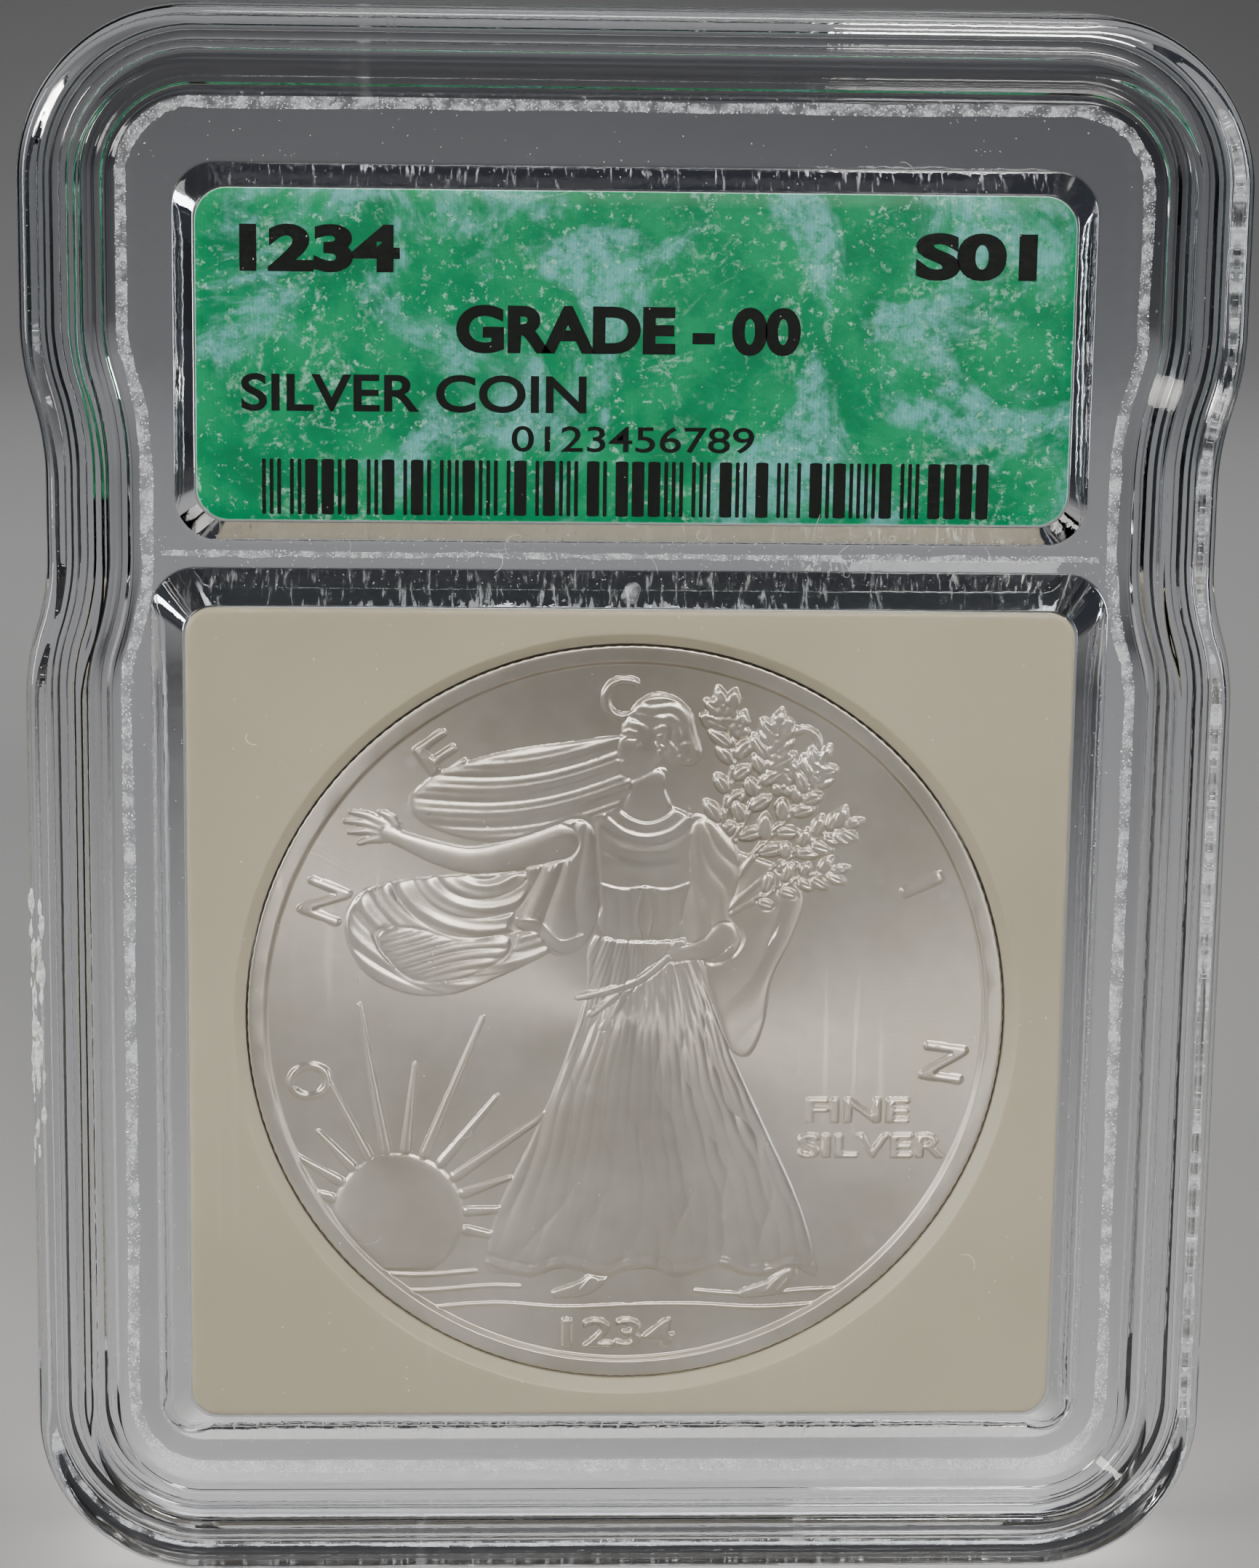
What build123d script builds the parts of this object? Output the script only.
"""A sealed holder for one large coin: two clear halves welded round an insert, a coin and a label card.

It stands upright with its face toward -Y and its base on Z = 0. All sizes are in millimetres.
"""

import os

from build123d import *

# Outline
width = 63.2
height = 84.0
thickness = 8.6
corner_radius = 9.0
waist_depth = 1.2
waist_low = 48.3  # where each side starts to draw in
waist_flat_low = 55.8
waist_flat_high = 59.8
waist_high = 67.8  # where each side is back at full width

# Rim and windows
rim_height = 0.9
rim_width = 3.2
rim_slope = 1.4
rim_edge_radius = 0.9
air_gap = 0.1  # between the halves, away from the welds

# Coin and its insert
coin_diameter = 40.6
coin_thickness = 2.98
coin_rim_width = 1.0
coin_field_depth = 0.28
coin_centre_height = 30.8
insert_width = 46.7
insert_height = 44.5
insert_thickness = 4.3
insert_corner_radius = 1.5
insert_hole_diameter = 40.7
insert_lip = 0.55

# Pockets that the insert sits in
pocket_depth = 2.2  # from mid-thickness, in each half
pocket_clearance = 0.05
pocket_slope_run = 1.8
back_pocket_clearance = 0.15

# Label card and the pocket it sits in
label_width = 45.4
label_height = 17.1
label_thickness = 0.4
label_corner_radius = 1.7
label_centre_height = 66.1
label_depth = 1.3  # from mid-thickness to the front of the card
label_slope_run = 1.15
sticker_width = 38.0
sticker_height = 12.0
sticker_thickness = 0.1

# Weld beads
weld_width = 0.7
weld_depth = 0.25  # into each half
outer_weld_inset = 0.6
inner_weld_inset = 4.75
cross_bar_height = 55.65
cross_bar_length = 50.6

half_width = width / 2
half_gap = air_gap / 2
crest = thickness / 2
window = crest - rim_height
label_front = -label_depth
label_back = label_front + label_thickness
sticker_back = label_back + sticker_thickness

front_parting = Plane.XZ.offset(half_gap)
back_parting = Plane.XZ.offset(-half_gap)
front_crest = Plane.XZ.offset(crest)
back_crest = Plane.XZ.offset(-crest)
coin_centre = (0, coin_centre_height)
label_centre = (0, label_centre_height)


def half_outline():
    """The right half of the outline, from the middle of the base to the middle of the top."""
    waist = half_width - waist_depth
    halfway = half_width - waist_depth / 2
    with BuildLine() as line:
        base = Line((0, 0), (half_width - corner_radius, 0))
        low_corner = TangentArc(base @ 1, (half_width, corner_radius), tangent=base % 1)
        low_side = Line(low_corner @ 1, (half_width, waist_low))
        low_middle = (halfway, (waist_low + waist_flat_low) / 2)
        low_out = TangentArc(low_side @ 1, low_middle, tangent=low_side % 1)
        low_in = TangentArc(low_out @ 1, (waist, waist_flat_low), tangent=low_out % 1)
        flat = Line(low_in @ 1, (waist, waist_flat_high))
        high_middle = (halfway, (waist_high + waist_flat_high) / 2)
        high_in = TangentArc(flat @ 1, high_middle, tangent=flat % 1)
        high_out = TangentArc(high_in @ 1, (half_width, waist_high), tangent=high_in % 1)
        high_side = Line(high_out @ 1, (half_width, height - corner_radius))
        top_end = (half_width - corner_radius, height)
        high_corner = TangentArc(high_side @ 1, top_end, tangent=high_side % 1)
        Line(high_corner @ 1, (0, height))
    return line.line


with BuildSketch() as outline:
    with BuildLine():
        add(half_outline())
        mirror(half_outline(), about=Plane.YZ)
    make_face()

with BuildSketch() as rim_inner:
    add(outline.sketch)
    offset(amount=-rim_width - rim_slope, kind=Kind.ARC)

with BuildSketch() as outer_weld_path:
    add(outline.sketch)
    offset(amount=-outer_weld_inset, kind=Kind.ARC)
    offset(amount=-weld_width, kind=Kind.ARC, mode=Mode.SUBTRACT)

with BuildSketch() as inner_weld_path:
    add(outline.sketch)
    offset(amount=-inner_weld_inset, kind=Kind.ARC)
    offset(amount=-weld_width, kind=Kind.ARC, mode=Mode.SUBTRACT)
    with Locations((0, cross_bar_height)):
        Rectangle(cross_bar_length, weld_width)


with BuildPart() as front_shell:
    with BuildSketch(front_parting):
        add(outline.sketch)
    extrude(amount=crest - half_gap)
    fillet(front_shell.edges().group_by(Axis.Y)[0], radius=rim_edge_radius)
    with BuildSketch(front_crest):
        add(rim_inner.sketch)
    extrude(amount=-rim_height, mode=Mode.SUBTRACT)
    recess_edges = front_shell.faces().sort_by(Axis.Y)[0].inner_wires()[0].edges()
    chamfer(recess_edges, length=rim_slope, length2=rim_height * 0.98)
    with BuildSketch(Plane.XZ.offset(pocket_depth)) as pocket_ceiling:
        with Locations(coin_centre):
            RectangleRounded(
                insert_width + 2 * pocket_clearance,
                insert_height + 2 * pocket_clearance,
                insert_corner_radius,
            )
    with BuildSketch(front_parting) as pocket_mouth:
        with Locations(coin_centre):
            RectangleRounded(
                insert_width + 2 * (pocket_clearance + pocket_slope_run),
                insert_height + 2 * (pocket_clearance + pocket_slope_run),
                insert_corner_radius + 0.9,
            )
    loft(mode=Mode.SUBTRACT)
    with BuildSketch(Plane.XZ.offset(label_depth)) as label_ceiling:
        with Locations(label_centre):
            RectangleRounded(
                label_width + 2 * pocket_clearance,
                label_height + 2 * pocket_clearance,
                label_corner_radius,
            )
    with BuildSketch(front_parting) as label_mouth:
        with Locations(label_centre):
            RectangleRounded(
                label_width + 2 * (pocket_clearance + label_slope_run),
                label_height + 2 * (pocket_clearance + label_slope_run),
                label_corner_radius + 0.6,
            )
    loft(mode=Mode.SUBTRACT)
    with BuildSketch(front_parting):
        add(outer_weld_path.sketch)
        add(inner_weld_path.sketch)
    extrude(amount=weld_depth, mode=Mode.SUBTRACT)

with BuildPart() as back_shell:
    with BuildSketch(back_parting):
        add(outline.sketch)
    extrude(amount=half_gap - crest)
    fillet(back_shell.edges().group_by(Axis.Y)[-1], radius=rim_edge_radius)
    with BuildSketch(back_crest):
        add(rim_inner.sketch)
    extrude(amount=rim_height, mode=Mode.SUBTRACT)
    recess_edges = back_shell.faces().sort_by(Axis.Y)[-1].inner_wires()[0].edges()
    chamfer(recess_edges, length=rim_slope, length2=rim_height * 0.98)
    with BuildSketch(back_parting) as back_pocket:
        with Locations(coin_centre):
            RectangleRounded(
                insert_width + 2 * back_pocket_clearance,
                insert_height + 2 * back_pocket_clearance,
                insert_corner_radius + 0.1,
            )
    extrude(amount=half_gap - pocket_depth, mode=Mode.SUBTRACT)
    with BuildSketch(back_parting):
        add(outer_weld_path.sketch)
        add(inner_weld_path.sketch)
    extrude(amount=-weld_depth, mode=Mode.SUBTRACT)
    with BuildSketch(back_parting):
        with Locations(label_centre):
            RectangleRounded(label_width - 0.4, label_height - 0.4, label_corner_radius)
    extrude(amount=half_gap - sticker_back)

with BuildPart() as outer_weld:
    with BuildSketch(Plane.XZ.offset(-half_gap - weld_depth)):
        add(outer_weld_path.sketch)
    extrude(amount=air_gap + 2 * weld_depth)

with BuildPart() as inner_weld:
    with BuildSketch(Plane.XZ.offset(-half_gap - weld_depth)):
        add(inner_weld_path.sketch)
    extrude(amount=air_gap + 2 * weld_depth)

with BuildPart() as coin_insert:
    with BuildSketch(Plane.XZ):
        with Locations(coin_centre):
            RectangleRounded(insert_width, insert_height, insert_corner_radius)
            Circle(insert_hole_diameter / 2, mode=Mode.SUBTRACT)
    extrude(amount=insert_thickness / 2, both=True)
    lip_edges = coin_insert.edges().filter_by(GeomType.CIRCLE)
    lip_edges = lip_edges.filter_by(lambda edge: edge.radius > insert_width / 4)
    chamfer(lip_edges, length=insert_lip)

with BuildPart() as coin:
    with BuildSketch(Plane.XZ):
        with Locations(coin_centre):
            Circle(coin_diameter / 2)
    extrude(amount=coin_thickness / 2, both=True)
    chamfer(coin.edges().filter_by(GeomType.CIRCLE), length=0.12)
    with BuildSketch(Plane.XZ.offset(coin_thickness / 2), Plane.XZ.offset(-coin_thickness / 2)):
        with Locations(coin_centre):
            Circle(coin_diameter / 2 - coin_rim_width)
    extrude(amount=coin_field_depth, both=True, mode=Mode.SUBTRACT)

with BuildPart() as label_card:
    with BuildSketch(Plane.XZ.offset(-label_front)):
        with Locations(label_centre):
            RectangleRounded(label_width, label_height, label_corner_radius)
    extrude(amount=-label_thickness)

with BuildPart() as back_label:
    with BuildSketch(Plane.XZ.offset(-label_back)):
        with Locations(label_centre):
            RectangleRounded(sticker_width, sticker_height, 1.0)
    extrude(amount=-sticker_thickness)

os.makedirs("parts", exist_ok=True)

front_shell.part.label = "front_shell"
back_shell.part.label = "back_shell"
outer_weld.part.label = "outer_weld"
inner_weld.part.label = "inner_weld"
coin_insert.part.label = "coin_insert"
coin.part.label = "coin"
label_card.part.label = "label_card"
back_label.part.label = "back_label"

export_step(front_shell.part, "parts/front_shell.step")
export_step(back_shell.part, "parts/back_shell.step")
export_step(outer_weld.part, "parts/outer_weld.step")
export_step(inner_weld.part, "parts/inner_weld.step")
export_step(coin_insert.part, "parts/coin_insert.step")
export_step(coin.part, "parts/coin.step")
export_step(label_card.part, "parts/label_card.step")
export_step(back_label.part, "parts/back_label.step")
